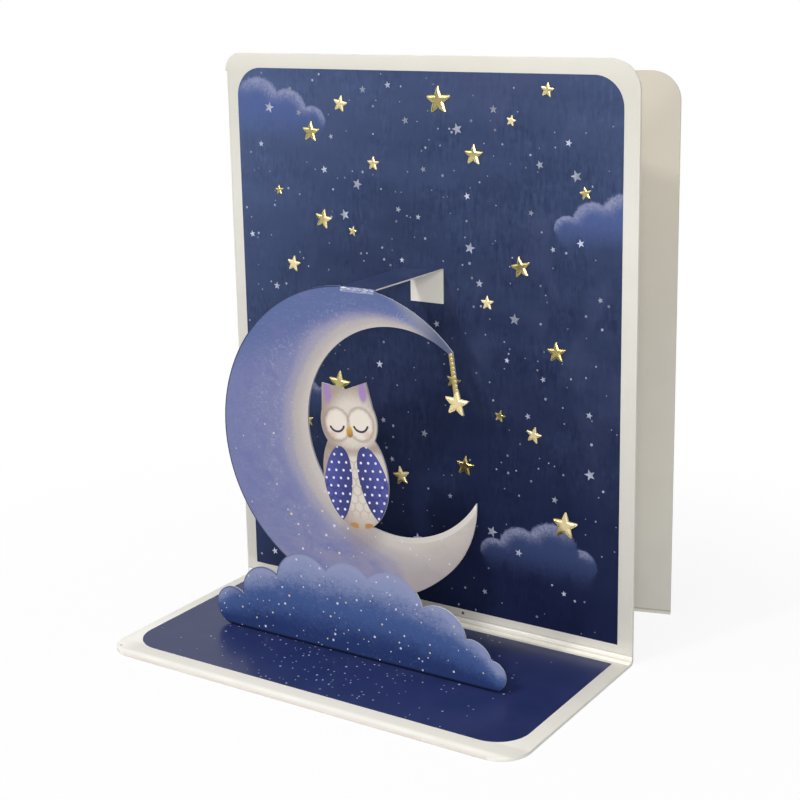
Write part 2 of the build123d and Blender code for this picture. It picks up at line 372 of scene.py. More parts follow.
def lay_borders(board, pulp):
    """Bare borders with painted shade at the panel's top, along the flap's front and on its outer strip, and
    a painted highlight near the flap's front edge and on its left end.
    """
    # Painted shade: darker at the panel's top and on a band along the flap's front
    strip = board.y.rise(FLAP_FRONT + 8.0, FLAP_FRONT + 6.5) * board.z.under(BOARD + 0.1)
    dull_shade = (board.z.rise(110, 152) * 0.6).most(strip * 0.5)
    board.lay(tone(206, 202, 192), dull_shade * board.y.under(FOLD_Y + 0.5))
    flap = board.z.over(0.5 * BOARD) * board.z.under(2 * BOARD)
    # Painted highlight: a bright line near the flap's front edge, and a brighter left end of the flap
    lip_highlight = (abs(board.y - FLAP_FRONT - 1.5).rise(1.8, 0.2) * 0.8).most(board.x.rise(-54, -61) * 0.9) * flap
    # Painted shade: the flap's outermost strip is darker and warmer, like the shaded face of its cut edge
    outside = board.y.rise(FLAP_FRONT + 1.3, FLAP_FRONT + 0.6) * flap
    board.lay(tone(228, 220, 211), outside * (0.45 + pulp))
    board.lay(tone(250, 248, 240), lip_highlight * (0.9 + pulp))


def lay_cut_edges(board, core, pulp):
    """Bright cut edges of the flap and the panel, and painted shade on the flap's front edge, with a painted
    contact shadow at its foot.
    """
    half = BOARD / 2
    rim = abs(board.z - half).rise(half * 0.95, half * 0.8)
    rim = rim.most(abs(board.y - FOLD_Y - half).rise(half * 0.95, half * 0.8))
    board.lay(core, rim)
    # Painted shade on the flap's front edge, darker still near its foot as a painted contact shadow
    cut = board.y.rise(FLAP_FRONT + 0.1, FLAP_FRONT + 0.03)
    board.lay(tone(226, 217, 208), cut * (0.7 + pulp) + cut * board.z.rise(0.25, 0.1) * 0.3)


def lay_fold(board, wear):
    """Painted light on the strip at the panel's foot, painted shade in its seam and score, a fleck and a
    nick.

    Returns the crushed line beside the fold, which is smoother and stands up and is painted bright as a
    highlight.
    """
    waver = board.noise((5.0, 1.0, 1.0), detail=3)
    printed_side = board.y.rise(FOLD_Y + 0.4, FOLD_Y + 0.2)
    on_panel = board.y.rise(FOLD_Y - 0.5, FOLD_Y - 0.1) * printed_side
    # Painted light: the panel's foot is lightened where the fold lies in shade
    board.lay(tone(250, 247, 238), on_panel * board.z.rise(7.0, 5.0) * 0.6)
    # The crushed line is real wear, smoother and raised; its bright colour, of strength wear, is a painted
    # highlight
    crushed_sheen = abs(board.z - BOARD - SCORE + 0.45 + waver * 0.7).rise(0.35, 0.12) * on_panel
    board.lay((0.97, 0.96, 0.93), crushed_sheen * wear * (0.75 + waver))
    # Painted shade in the fold's inner corner and in the score line
    seam = abs(board.z - BOARD - 0.25).rise(0.3, 0.08) * board.y.rise(FOLD_Y - 0.7, FOLD_Y - 0.3)
    groove = abs(board.z - BOARD - SCORE).rise(0.3, 0.1) * on_panel
    board.lay(tone(150, 136, 112), seam * 0.45 + groove * 0.4)
    fleck = board.reach(*FLECK).rise(0.55, 0.3) * board.y.rise(FOLD_Y - 1, FOLD_Y - 0.5)
    nick = distance(board.x - NICK[0], board.y - NICK[1]).rise(0.5, 0.2)
    board.lay(tone(96, 86, 70), fleck * printed_side + nick * 0.6)
    return crushed_sheen


def sheet_finish(settings):
    """Cream board with painted shade behind the panel, and borders, cut edges and a worn fold that carry
    painted shade and highlights.
    """
    board = Finish("cream_board", settings.paper)
    fibres, pulp = lay_pulp(board, scaled(settings.paper, 0.93))
    # Painted shade behind the panel, stronger towards the top
    behind = board.y.rise(FOLD_Y + BOARD + 0.1, FOLD_Y + BOARD + 0.4) * board.z.rise(-20, 190)
    board.lay(settings.inside, behind)
    lay_borders(board, pulp)
    lay_cut_edges(board, settings.core, pulp)
    crushed_sheen = lay_fold(board, settings.fold_wear_sheen)
    roughness = 0.6 + 0.12 * fibres - 0.3 * crushed_sheen
    return board.surface(roughness, fibres + 4 * crushed_sheen, settings.fibre_depth, specular=0.3)


def layer_finish(settings):
    """White board of the die-cut layer, its rim tinted blue-grey like the print beside it, and its strap's
    crease cracked.
    """
    board = Finish("cut_board", settings.core)
    fibres, _ = lay_pulp(board, scaled(settings.core, 0.9))
    low, high = box_mm("pop_up_layer")
    horn = board.towards(MOON, -42).rise(18, 36) * board.z.rise(12, 28)
    rim = board.y.rise(low.y + 0.38, low.y + 0.33) * board.z.rise(1.0, 2.0) * (1 - horn)
    edge_tint = board.mix(tone(132, 148, 190), tone(146, 148, 172), board.z.rise(20, 40))
    board.lay(edge_tint, rim * 0.85)
    crease = board.z.rise(high.z - 1.5, high.z - 1.1) * board.y.rise(low.y + 1.4, low.y + 0.9)
    crackle = board.noise((1.1, 0.4, 0.25), detail=3, roughness=0.8)
    cracked = board.mix(tone(122, 130, 166), tone(236, 236, 232), crackle.rise(0.0, 0.16))
    board.lay(cracked, crease)
    return board.surface(0.6 + 0.12 * fibres, fibres, settings.fibre_depth, specular=0.3)


class CARD_OT_board(bpy.types.Operator):
    """Dress the folded board and the die-cut layer in card stock"""

    bl_idname = "card.board"
    bl_label = "Board"

    def execute(self, context):
        settings = context.scene.card_board
        paint(layer_finish(settings), "pop_up_layer")

        mesh = bpy.data.meshes.new("folded_board")
        shell = joined_mesh("card_sheet")
        shell.to_mesh(mesh)
        shell.free()
        card = new_object("folded_board", mesh)
        rounding = card.modifiers.new("pressed_edges", "BEVEL")
        rounding.width = settings.edge_round
        rounding.segments = 2
        rounding.limit_method = "ANGLE"
        rounding.angle_limit = radians(50)
        bake(card)
        card.data.materials.clear()
        card.data.materials.append(sheet_finish(settings))
        card.data.shade_smooth()
        card.data.set_sharp_from_angle(angle=radians(35))
        settle(card, "card_board", "card_sheet")
        return {"FINISHED"}


# Printed sky and base


class CardPrintSettings(bpy.types.PropertyGroup):
    sky_high: colour_setting("High sky", "Colour at the top of the sky", 95, 112, 152)
    sky_deep: colour_setting("Deep sky", "Colour at the foot of the sky", 15, 19, 52)
    chalk_blue: colour_setting("Painted cloud", "Body colour of the painted clouds", 84, 100, 152)
    chalk_rim: colour_setting("Cloud rim", "Chalky rim of the painted clouds", 152, 156, 184)
    base_night: colour_setting("Base", "Colour of the printed base", 37, 47, 87)
    brush: number_setting("Brush marks", "Strength of the streaks in the sky", 0.28)
    varnish: number_setting("Varnish", "Roughness of the base's varnish", 0.26)


# Painted clouds: side and end of the sky, distances in from those borders as shares of the cloud's own
# width, and the width as a share of the largest, which is in millimetres. Opposite sides are mirrored.
PAINTED_CLOUD_WIDTH = 38.0
PAINTED_CLOUDS = [
    (-1, 1, 0.31, 0.36, 1.00),
    (1, 1, 0.11, 1.18, 0.85),
    (1, -1, 0.66, 0.53, 0.95),
    (-1, -1, 1.04, 2.32, 0.60),
]
# Lobes of one painted cloud: place, rise and radius, as shares of its width
PAINTED_LOBES = [(-0.36, 0.00, 0.14), (-0.13, 0.08, 0.22), (0.14, 0.04, 0.18), (0.36, -0.02, 0.12)]


def lay_chalk_cloud(ink, settings, lobes, foot, side, body_share, grain):
    """Paints one cloud of lobes (x, z, radius), each over the last, chalky above and fading out below.

    The chalk is strongest on the cloud's side that looks to the middle of the sky.
    """
    glow = 0.0
    cover = 0.0
    for across, up, radius in lobes:
        aside, above = (ink.x - across) / radius, (ink.z - up) / radius
        reach = distance(aside, above) + grain * 0.09
        inside = reach.rise(1.06, 0.92)
        crescent = reach.rise(0.3, 0.95) * (above - aside * (0.45 * side)).rise(-0.1, 0.85)
        glow = glow + (crescent - glow) * inside
        below = (0 - above).most(0)
        body = distance(aside * (1 + 0.3 * below), above.most(0)) + grain * 0.09
        cover = body.rise(1.06, (0.9 - 0.6 * below).most(0.1)).most(cover)
    size = max(radius for _, _, radius in lobes)
    middle = sum(across for across, _, _ in lobes) / len(lobes)
    bank = distance((ink.x - middle) / (1.9 * size), (ink.z - foot) / (0.75 * size))
    cover = bank.rise(1.0, 0.6).most(cover)
    fade = (ink.z + grain * 1.2).rise(foot - size, foot + 0.5 * size) * cover
    ink.lay(settings.chalk_blue, fade * body_share)
    chalk = glow * fade * (0.75 + grain * 0.5)
    ink.lay(settings.chalk_rim, chalk * 0.9)


def sky_finish(settings):
    """Night sky: pale above and at the left, deep at the foot, with brush marks and chalk clouds."""
    ink = Finish("night_sky_ink", settings.sky_deep)
    low, high = box_mm("sky_print")
    middle = (low.z + high.z) / 2
    across = ink.x / high.x
    up = (ink.z - low.z) / (high.z - low.z)
    light = 0.26 + 0.21 * up + 0.21 * up * up - 0.065 * across + 0.105 * across * across
    # Painted shadow: the sky is darker towards the lower right, where the moon's shadow falls
    light = light - 0.06 * across.most(0) * (1 - up)
    streaks = ink.noise((0.8, 0.8, 3.6), detail=3, roughness=0.6, warp=0.5) + ink.noise(1.4) * 0.5
    busy = ink.noise(9.0).rise(-0.15, 0.15)
    drift = ink.noise((26.0, 26.0, 8.0), detail=3)
    light = light + (streaks * (0.3 + busy) + drift * 0.8) * settings.brush * up.rise(-0.5, 0.8)
    ink.lay(settings.sky_high, light.most(0) ** 1.75)
    patches = ink.noise((15.0, 15.0, 24.0), warp=0.6).rise(0.02, 0.2)
    ink.lay(scaled(settings.sky_high, 0.72, 0.6, 0.62), patches * up.rise(0.1, 0.7) * 0.3)
    grain = ink.grain(0.6)
    for side, end, inward, away, size in PAINTED_CLOUDS:
        width = size * PAINTED_CLOUD_WIDTH
        x = side * (high.x - inward * width)
        z = middle + end * (high.z - middle - away * width)
        lobes = [
            (x - side * along * width, z + rise * width, lobe * width)
            for along, rise, lobe in PAINTED_LOBES
        ]
        lay_chalk_cloud(ink, settings, lobes, z, side, 0.58 + 0.2 * end, grain)
    return ink.surface(0.5 + streaks * 0.1, streaks, 0.004, specular=0.05)


def base_finish(settings):
    """Varnished night ink on the base, washed with a little violet."""
    ink = Finish("base_ink", settings.base_night)
    violet = scaled(settings.base_night, 1.9, 1.45, 1.3)
    ink.lay(violet, 0.35 + ink.noise(11.0, detail=3) * 1.6 + ink.grain(0.8) * 0.06)
    return ink.surface(settings.varnish, ink.noise(6.0), specular=0.35)


class CARD_OT_print(bpy.types.Operator):
    """Print the sky, the strap and the base"""

    bl_idname = "card.print"
    bl_label = "Printed sheet"

    def execute(self, context):
        settings = context.scene.card_print
        paint(sky_finish(settings), "sky_print", "painted_clouds", "strap_print")
        paint(base_finish(settings), "ground_print")
        return {"FINISHED"}


# Moon and cloud of the die-cut layer


class CardLayerSettings(bpy.types.PropertyGroup):
    cream: colour_setting("Moon glow", "Colour of the moon's inner side", 194, 187, 181)
    rose: colour_setting("Moon rose", "Colour beside the glow", 178, 171, 171)
    lilac: colour_setting("Moon lilac", "Colour half across the moon", 154, 151, 172)
    violet: colour_setting("Moon violet", "Colour between the lilac and the outer side", 126, 130, 168)
    blue: colour_setting("Moon blue", "Colour of the moon's outer side", 118, 124, 166)
    cloud_top: colour_setting("Cloud top", "Colour of the cloud's lobes", 136, 145, 182)
    cloud_middle: colour_setting("Cloud middle", "Colour halfway down the cloud", 68, 89, 140)
    cloud_foot: colour_setting("Cloud foot", "Colour at the cloud's foot", 44, 59, 105)


# The moon in millimetres: its circle, the mouth's circle beside it, and the tips of the two horns
MOON = (-0.3, 59.3)
MOON_RADIUS = 41.2
MOUTH = (13.9, 63.5)
MOUTH_RADIUS = 27.6
LOWER_TIP = (36.7, 49.7)
UPPER_TIP = (30.3, 86.9)

# The cloud in millimetres, and its lobes: place along it, height of the top, radius, as shares
CLOUD_WIDTH = 91.0
CLOUD_MIDDLE = -1.0
CLOUD_LOBES = [
    (0.055, 0.440, 0.220),
    (0.180, 0.750, 0.300),
    (0.325, 1.000, 0.365),
    (0.480, 1.000, 0.330),
    (0.630, 1.000, 0.385),
    (0.785, 0.760, 0.330),
    (0.890, 0.490, 0.245),
    (0.957, 0.320, 0.160),
]


def lay_outer_side(ink, share, horn):
    """A dark crown, and dark strokes, lilac daubs and pale flecks on the moon's outer side."""
    night = tone(90, 106, 152)
    crown = ink.towards(MOON, 105).rise(20, 34) * share.rise(0.3, 0.62)
    ink.lay(night, crown * 0.85)
    outer = share.rise(0.3, 0.5) * (1 - horn)
    strokes = ink.noise((1.9, 1.9, 0.55), roughness=0.6, warp=1.6)
    ink.lay(night, strokes.rise(0.0, 0.24) * outer * 0.4)
    ink.lay(tone(146, 146, 180), strokes.rise(-0.06, -0.22) * outer * 0.35)
    daub = ink.noise(5.0, detail=3, warp=0.8)
    ink.lay(tone(112, 112, 162), daub.rise(0.0, 0.22) * outer * 0.6)
    mist = share.rise(0.22, 0.32) * share.rise(0.85, 0.5) * (1 - horn) * daub.rise(0.12, -0.06)
    fleck = ink.noise(0.7, roughness=0.7).rise(0.06, 0.17)
    ink.lay(tone(166, 168, 202), fleck * mist * 0.55)


def lay_horns(ink, share, horn, low, grain):
    """Smears on the lower horn and beside it, a pale then dark upper tip, and dusk under the horn."""
    smear = ink.noise((9.0, 9.0, 4.0), warp=0.4)
    ink.lay(tone(164, 156, 148), smear.rise(-0.1, 0.2) * share.rise(0.02, 0.3) * horn * 0.4)
    ink.lay(tone(156, 146, 160), smear.rise(0.2, -0.2) * low * (1 - horn) * share.rise(0.1, 0.3) * 0.6)
    ink.lay(tone(146, 148, 160), ink.towards(MOON, 45).rise(35.5, 40) * 0.85)
    ink.lay(tone(84, 92, 122), ink.reach(*UPPER_TIP).rise(14, 3) * (0.9 + grain * 0.1))
    underside = ink.towards(MOON, -62).rise(26, 43) * horn
    ink.lay(tone(120, 108, 118), underside * 0.45 + ink.reach(*OWL_FOOT).rise(9, 3) * 0.4)


def lay_moon_rims(ink, from_mouth, from_back, horn, blue):
    """A painted highlight along the lower horn's edge and at its tip, and a dark line round the moon's back.
    """
    # Painted highlight: a bright line on the lower horn's inner edge and a bright spot at its tip
    light = from_mouth.rise(0.45, 0.15) * horn
    ink.lay(tone(232, 229, 220), light * 0.5 + ink.reach(*LOWER_TIP).rise(2.4, 0.8) * 0.8)
    dark = from_back.rise(0.5, 0.16) * (1 - horn) * ink.towards(MOON, 50).rise(36, 28)
    ink.lay(scaled(blue, 0.16), dark * 0.85)


def moon_finish(settings):
    """Airbrushed moon: a warm glow round the mouth and along the lower horn, blue and lilac outside."""
    ink = Finish("moon_ink")
    from_mouth = ink.reach(*MOUTH) - MOUTH_RADIUS
    from_back = MOON_RADIUS - ink.reach(*MOON)
    share = from_mouth / (from_mouth + from_back).most(0.5)
    horn = ink.towards(MOON, -42).rise(18, 43)
    grain = ink.grain(0.6) * (1.0 - 0.8 * horn)
    low = ink.towards(MOON, -85).rise(12, 40)
    top = ink.towards(MOON, 95).rise(18, 32)
    place = share * (1.0 - 0.8 * horn) * (1.0 - 0.32 * top) - 0.1 * horn - 0.05 * low
    ink.ramp(
        place + ink.noise(9.0, detail=3) * 0.1 + grain * 0.045,
        (0.02, settings.cream),
        (0.15, settings.rose),
        (0.23, settings.lilac),
        (0.36, settings.violet),
        (0.85, settings.blue),
    )
    lay_outer_side(ink, share, horn)
    lay_horns(ink, share, horn, low, grain)
    lay_moon_rims(ink, from_mouth, from_back, horn, settings.blue)
    return ink.surface(0.5 + grain * 0.04, grain, 0.004, specular=0.1)


def cloud_finish(settings):
    """Painted cloud: a pale rim on each lobe over a blue that deepens to the foot."""
    ink = Finish("cloud_ink")
    low, high = box_mm("cloud_print")
    height = high.z - low.z
    up = (ink.z - low.z) / height
    grain = ink.grain(0.7)
    wash = ink.noise((7.0, 7.0, 4.0), detail=3)
    strokes = ink.noise((1.7, 1.7, 0.6), roughness=0.6, warp=1.6)
    heap = 1.0 - (abs(ink.x - CLOUD_MIDDLE + 2.0) / (0.55 * CLOUD_WIDTH)) ** 3
    daub = ink.noise(1.8, detail=3, roughness=0.6)
    rise = up / heap.most(0.25) + grain * 0.06 + wash * 0.2 + strokes * 0.24 + daub * 0.16
    ink.ramp(rise, (0.12, settings.cloud_foot), (0.5, settings.cloud_middle), (0.9, settings.cloud_top))
    glow = 0.0
    depth = -99.0
    for along, top, size in CLOUD_LOBES:
        radius = size * height
        across = CLOUD_MIDDLE + (along - 0.5) * CLOUD_WIDTH
        centre = low.z + top * height - radius
        reach = ink.reach(across, centre)
        inside = (reach + grain * 0.4).rise(radius * 1.06, radius * 0.88)
        upper = (ink.z - centre + wash * 4).rise(0.1 * radius, 0.9 * radius)
        edge = (reach + grain * 0.5).rise(0.66 * radius, 0.97 * radius) * upper
        glow = glow + (edge - glow) * inside
        depth = (radius - distance(ink.x - across, (ink.z - centre).most(0))).most(depth)
    ink.lay(tone(152, 154, 186), glow * (0.6 + grain * 0.25) * up.rise(0.35, 0.8))
    ink.lay(scaled(settings.cloud_middle, 0.3), depth.rise(0.5, 0.15) * ink.x.rise(0, -34) * 0.6)
    fleck = ink.noise(0.5, roughness=0.7).rise(0.12, 0.22) * ink.noise(6.0).rise(-0.08, 0.12)
    ink.lay(tone(140, 152, 188), fleck * 0.4)
    ink.lay(scaled(settings.cloud_foot, 0.15), up.rise(0.04, 0.012))
    return ink.surface(0.45 + grain * 0.04, grain, 0.004, specular=0.12)


class CARD_OT_layer(bpy.types.Operator):
    """Print the moon and the cloud of the pop-up layer"""

    bl_idname = "card.layer"
    bl_label = "Moon and cloud"

    def execute(self, context):
        settings = context.scene.card_layer
        paint(moon_finish(settings), "moon_print")
        paint(cloud_finish(settings), "cloud_print")
        return {"FINISHED"}


# Owl


class CardOwlSettings(bpy.types.PropertyGroup):
    down: colour_setting("Down", "Colour of the owl's body and head", 214, 205, 194)
    shade: colour_setting("Shade", "Shading at the owl's sides", 150, 132, 122)
    wing: colour_setting("Wing", "Colour of the wings", 84, 88, 156)
    blush: colour_setting("Tuft", "Colour inside the ear tufts", 158, 128, 186)
    dot: colour_setting("Dot", "Colour of the dots on the wings", 222, 226, 240)
    line: colour_setting("Line", "Colour of the drawn eyelids", 70, 60, 74)


# The owl's lean in degrees, the size of its body, and its head as radius and height, in millimetres.
# It sits a little into the moon, at an angle of the mouth's circle.
OWL_LEAN = 7.0
OWL_BODY = (20.0, 28.0)
OWL_HEAD = (8.7, 28.3)
OWL_ANGLE = radians(247)
OWL_SEAT = MOUTH_RADIUS + 1.4
OWL_FOOT = (MOUTH[0] + OWL_SEAT * cos(OWL_ANGLE), MOUTH[1] + OWL_SEAT * sin(OWL_ANGLE))


class OwlInk(Finish):
    """An ink of the owl, with places across and up through it, in millimetres from its feet."""

    def __init__(self, name, colour):
        super().__init__(name, colour)
        lean = radians(OWL_LEAN)
        x, z = self.x - OWL_FOOT[0], self.z - OWL_FOOT[1]
        self.across = x * cos(lean) + z * sin(lean)
        self.up = z * cos(lean) - x * sin(lean)

    def oval(self, across, up, half_width, half_height):
        """1 on an oval's outline, 0 at its centre."""
        return distance((self.across - across) / half_width, (self.up - up) / half_height)

    def bricks(self, width, height):
        """Cells laid like bricks: the place in each of them, across from -0.5 to 0.5 and up from 0 to 1."""
        rows = self.up / height
        row = rows.fraction()
        stagger = (rows - row).bounce(1.0)
        # The half cell puts a column on the middle line, and the 40 keep every place above 0
        columns = self.across / width + stagger * 0.5 + 40.5
        return columns.fraction() - 0.5, row

    def scallops(self, width, height):
        """Rows of overlapping feather tips: distance from a tip's arc, in shares of a feather's width."""
        column, row = self.bricks(width, height)
        return abs(distance(column, row * (height / width) - 0.6) - 0.5)


def down_finish(settings):
    """Soft down: pale face discs, rows of breast feathers, shaded sides and small feet."""
    ink = OwlInk("owl_down_ink", settings.down)
    across, up = ink.across, ink.up
    grain = ink.noise(0.4, detail=3, roughness=0.8)
    strokes = ink.noise((0.3, 0.3, 1.2))
    half_width, half_height = OWL_BODY[0] / 2, OWL_BODY[1] / 2
    body = ink.oval(0, half_height, half_width, half_height)
    head_radius, head_up = OWL_HEAD
    head = ink.oval(0, head_up, head_radius, head_radius)
    side = body + (head - body) * up.rise(19.5, 21.5) + grain * 0.3 - across * 0.025
    ink.lay(settings.shade, side.rise(0.5, 1.15) * 0.8 + strokes * 0.35)
    neck = abs(up - 20.4 - across * across * 0.03).rise(1.6, 0.2)
    ink.lay(settings.shade, neck * 0.55)
    breast = ink.scallops(2.6, 2.2).rise(0.12, 0.02) * body.rise(0.95, 0.7) * up.rise(20, 18.5)
    ink.lay(settings.shade, breast * up.rise(2.0, 4.0) * 0.4)
    for side in (-1, 1):
        disc = ink.oval(side * 3.7, head_up - 0.4, 4.0, 4.4) + grain * 0.3
        ink.lay(scaled(settings.down, 1.22), disc.rise(1.0, 0.7) * 0.75)
        ink.lay(settings.shade, abs(disc - 1.0).rise(0.14, 0.02) * 0.5)
        cheek = ink.oval(side * 5.6, head_up - 3.2, 1.7, 1.2)
        ink.lay(tone(196, 150, 140), cheek.rise(1.2, 0.2) * 0.45)
        tuft = ink.oval(side * 5.5, head_up + 8.0, 1.3, 3.0)
        ink.lay(settings.blush, tuft.rise(1.15, 0.6) * 0.9)
        foot = ink.oval(side * 2.4, 0.9, 1.5, 0.9) + abs((across * 5.2).sine()) * 0.25
        ink.lay(tone(176, 130, 78), foot.rise(1.2, 1.0))
    return ink.surface(0.55, grain, 0.006, specular=0.15)


def wing_finish(settings):
    """Violet wings with darker feather tips, and rows of small white dots."""
    ink = OwlInk("owl_wing_ink", settings.wing)
    grain = ink.noise(0.4, detail=3, roughness=0.8)
    dark = scaled(settings.wing, 0.5)
    ink.lay(dark, abs(ink.across).rise(9.0, 2.0) * 0.8 + grain * 0.5 + ink.up.rise(14, 3) * 0.3)
    ink.lay(dark, ink.scallops(3.6, 2.6).rise(0.1, 0.02) * ink.up.rise(16, 11) * 0.8)
    width, height = 2.3, 2.1
    column, row = ink.bricks(width, height)
    dots = distance(column * width, (row - 0.5) * height) + grain * 0.1
    ink.lay(settings.dot, dots.rise(0.42, 0.28))
    return ink.surface(0.5, grain, 0.006, specular=0.15)


def line_finish(settings):
    """Drawn eyelids, and the warmer beak between them."""
    ink = OwlInk("owl_line_ink", settings.line)
    beak_up = OWL_HEAD[1] - 2.3
    shine = ink.noise(0.8) * 0.4 + (ink.up - beak_up) * 0.3
    amber = ink.mix(tone(150, 104, 52), tone(214, 172, 92), 0.5 + shine)
    ink.lay(amber, ink.oval(0, beak_up, 1.2, 1.7).rise(1.0, 0.9))
    return ink.surface(0.5, specular=0.3)


class CARD_OT_owl(bpy.types.Operator):
    """Paint the owl asleep on the moon"""

    bl_idname = "card.owl"
    bl_label = "Owl"

    def execute(self, context):
        settings = context.scene.card_owl
        paint(down_finish(settings), "owl_print")
        paint(wing_finish(settings), "owl_wings")
        paint(line_finish(settings), "owl_face")
        return {"FINISHED"}


# Foil


class CardFoilSettings(bpy.types.PropertyGroup):
    gold: colour_setting("Gold", "Colour of the hot foil", 238, 222, 150)
    roughness: number_setting("Roughness", "Roughness of the foil", 0.26)
    height: length_setting("Emboss height", "Height of the largest star", 0.4)
    plateau: number_setting("Plateau", "Flat top as a share of the star", 0.66)
    waist: number_setting("Waist", "Inner radius as a share of the outer", 0.42)
    bead: length_setting("Bead", "Radius of the string's beads", 0.5)


def foil_finish(settings, name, metal):
    """Hot-stamped foil: gold, with a painted reflection darkening it towards bronze, and a pale satin painted
    highlight where it is not metal.

    metal is 1 for foil that is metal in places, and less for foil that is mostly painted highlight.
    """
    # The pale cream base stays where the foil is not metal, as a painted highlight
    foil = Finish(name, tone(252, 232, 176))
    cloudy = foil.noise(2.2, detail=3)
    marks = foil.noise(0.22)
    tilt = foil.noise(24.0, detail=1)
    reflection_fall = foil.x * 0.006 - (foil.z - 80) * 0.004
    metal_share = foil.noise(11.0, detail=1).rise(-0.13, 0.02) * metal
    foil.lay(settings.gold, metal_share)
    # Painted reflection: slow noise and a slope by place darken some stars towards bronze, most at the lower
    # right
    dark_reflection = scaled(settings.gold, 0.5, 0.38, 0.22)
    foil.lay(dark_reflection, (0.2 + cloudy * 1.2 + tilt * 1.6 + reflection_fall) * metal_share)
    return foil.surface(settings.roughness + cloudy * 0.12, marks, 0.006, metallic=0.3 + 0.7 * metal_share)


def star_pattern():
    """Embossed stars on points that carry their size and turn."""
    pattern = Pattern("embossed_stars", Float=["height", "largest", "plateau", "waist"])
    given = pattern.given
    star_inputs = {"Points": 5, "Inner Radius": given["waist"], "Outer Radius": 1.0}
    outline = pattern.node("GeometryNodeCurveStar", inputs=star_inputs)
    face = pattern.node("GeometryNodeFillCurve", {"mode": "NGONS"}, {"Curve": outline})
    height = given["height"] / given["largest"]
    # A steep side first, which keeps nearly the whole star, and then the slope up to the plateau
    brink = 0.96
    for rise, keep in ((0.4, brink), (0.6, given["plateau"] / brink)):
        inputs = {"Mesh": face, "Offset Scale": height * rise}
        raised = pattern.node("GeometryNodeExtrudeMesh", {"mode": "FACES"}, inputs)
        inputs = {"Geometry": raised, "Selection": raised.other("Top"), "Scale": keep}
        face = pattern.node("GeometryNodeScaleElements", {"domain": "FACE"}, inputs)
    angles = {0: radians(90), 1: radians(-90) - pattern.stored("turn"), 2: 0.0}
    upright = pattern.node("ShaderNodeCombineXYZ", inputs=angles)
    rotation = pattern.node("FunctionNodeEulerToRotation", inputs={0: upright})
    points = pattern.node("GeometryNodeMeshToPoints", inputs={"Mesh": given["Geometry"]})
    inputs = {"Points": points, "Instance": face, "Rotation": rotation, "Scale": pattern.stored("size")}
    return pattern.close(pattern.node("GeometryNodeInstanceOnPoints", inputs=inputs))


def star_places(node):
    """Centre, size and turn of each star of a CAD node, from the tips of its outline."""
    shell = joined_mesh(node)
    stars = []
    waiting = set(shell.verts)
    while waiting:
        island = [waiting.pop()]
        for vert in island:
            for edge in vert.link_edges:
                other = edge.other_vert(vert)
                if other in waiting:
                    waiting.remove(other)
                    island.append(other)
        back = max(vert.co.y for vert in island)
        rim = [vert.co.copy() for vert in island if vert.co.y > back - 0.01 * MM]
        middle = sum(rim, Vector()) / len(rim)
        arms = [point - middle for point in rim]
        reach = max(arm.length for arm in arms)
        top = max((arm for arm in arms if arm.length > 0.8 * reach), key=lambda arm: arm.z)
        # How far the highest tip leans from upright towards the left, in radians
        lean = Vector((top.x, top.z)).angle_signed(Vector((0, 1)))
        stars.append((middle, reach, lean))
    shell.free()
    return sorted(stars, key=lambda star: star[0].x)


def new_points(name, places, edges=(), **values):
    """A piece of points with one number for each under every given name."""
    mesh = bpy.data.meshes.new(name)
    mesh.from_pydata(places, edges, [])
    for label, numbers in values.items():
        mesh.attributes.new(label, "FLOAT", "POINT").data.foreach_set("value", numbers)
    return new_object(name, mesh)


def bead_pattern():
    """Flattened beads in a row along a line."""
    pattern = Pattern("string_beads", Float=["spacing", "radius", "thickness"])
    given = pattern.given
    curve = pattern.node("GeometryNodeMeshToCurve", inputs={"Mesh": given["Geometry"]})
    row_inputs = {"Curve": curve, "Length": given["spacing"]}
    row = pattern.node("GeometryNodeCurveToPoints", {"mode": "LENGTH"}, row_inputs)
    bead = pattern.node("GeometryNodeMeshUVSphere", inputs={"Segments": 10, "Rings": 6, "Radius": 1.0})
    size = {0: given["radius"], 1: given["thickness"], 2: given["radius"]}
    scale = pattern.node("ShaderNodeCombineXYZ", inputs=size)
    inputs = {"Points": row, "Instance": bead, "Scale": scale}
    return pattern.close(pattern.node("GeometryNodeInstanceOnPoints", inputs=inputs))


# The string in millimetres, where it leaves the moon's tip and where it meets the star; and the star that
# hangs on it: its centre, its radius, and its turn in degrees
STRING_TOP = (29.9, 86.3)
STRING_FOOT = (31.4, 77.6)
HANGING_STAR = (31.37, 74.39)
HANGING_STAR_RADIUS = 3.4
HANGING_STAR_TURN = -4.0


